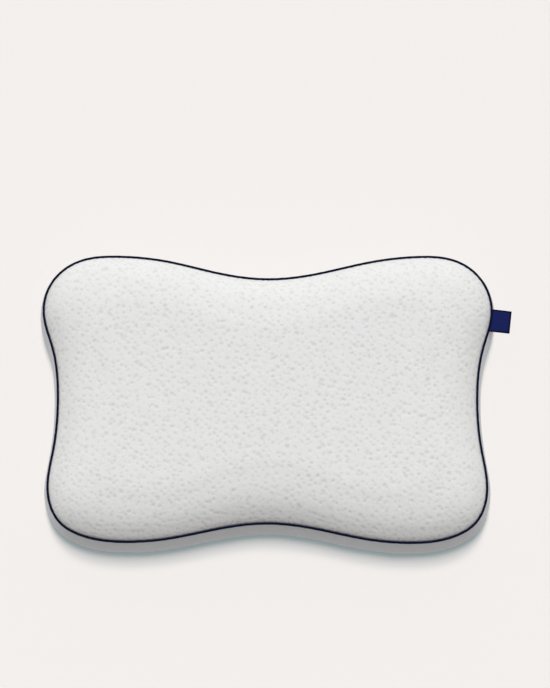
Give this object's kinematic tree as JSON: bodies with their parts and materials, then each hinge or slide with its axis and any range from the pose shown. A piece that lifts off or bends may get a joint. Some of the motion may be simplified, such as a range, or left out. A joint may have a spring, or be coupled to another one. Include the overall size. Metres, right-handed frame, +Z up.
{
  "type": "pillow",
  "caption": "Contoured foam pillow with waisted sides in a piped knit cover, lying on its flat underside.",
  "frame": {"origin": "middle of the flat underside, on the surface that the pillow lies on", "axes": "+X along the pillow's length, +Y towards its back edge, +Z up out of the dimpled top"},
  "size_m": [0.6265, 0.4002, 0.11],
  "materials": {
    "top_knit": "white jacquard knit covered in small soft dimples",
    "band_knit": "white fine-ribbed stretch knit",
    "base_knit": "off-white plain knit",
    "piping_cloth": "navy woven cloth over a cord",
    "label_ribbon": "navy woven ribbon, bare"
  },
  "bodies": {
    "root": {"cushion": "top_knit", "side_band": "band_knit", "base_panel": "base_knit", "piping": "piping_cloth", "label_tab": "label_ribbon"}
  },
  "joints": []
}
